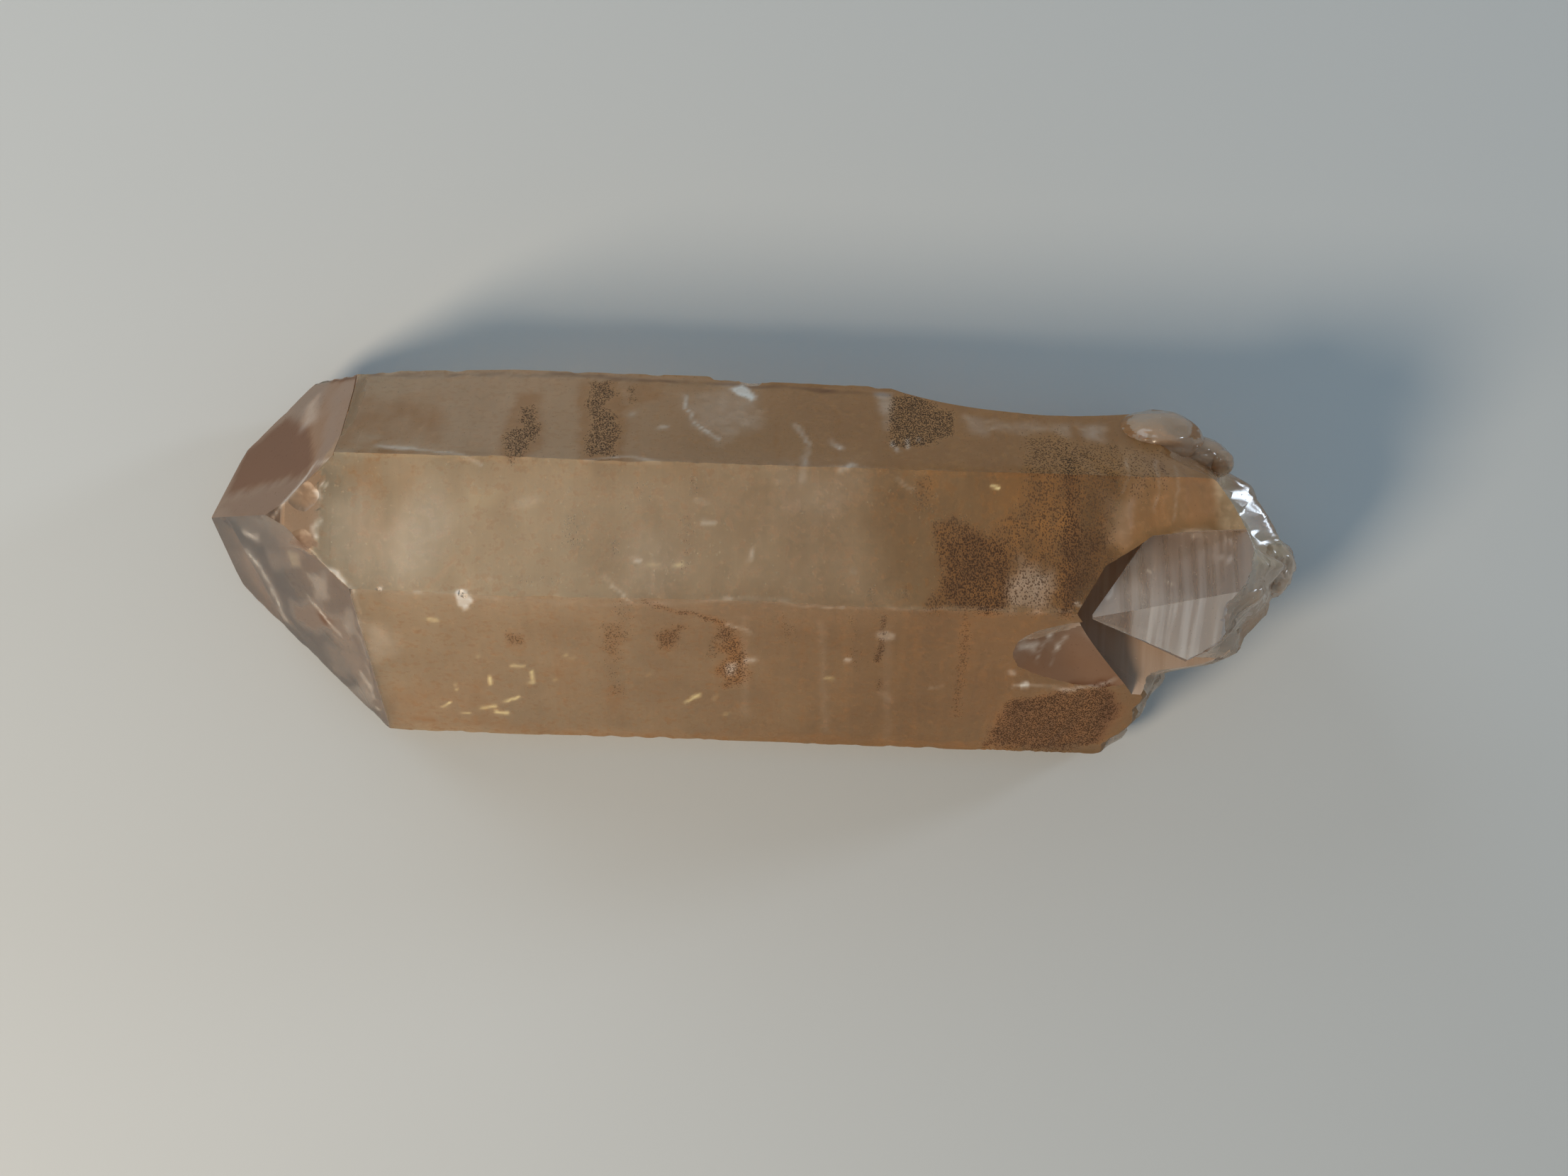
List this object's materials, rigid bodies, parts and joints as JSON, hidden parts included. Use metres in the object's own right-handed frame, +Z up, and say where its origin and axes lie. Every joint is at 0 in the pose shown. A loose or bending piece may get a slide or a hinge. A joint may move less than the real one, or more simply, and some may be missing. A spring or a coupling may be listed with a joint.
{
  "type": "lemurian quartz crystal",
  "caption": "Smoky clear quartz point lying on a prism face: frosted stepped prism, glassy pointed end, small side crystal and chipped broken root.",
  "frame": {"origin": "middle of the bounding box's base, on the surface the crystal lies on", "axes": "+X along the crystal's c axis from the point towards the broken root, +Z up from the prism face it lies on"},
  "size_m": [0.091, 0.0312, 0.025],
  "materials": {
    "quartz": "frosted prism faces, glossy pointed end and breaks, brown iron stain in etch pits"
  },
  "bodies": {
    "root": {"quartz_crystal": "quartz"}
  },
  "joints": []
}
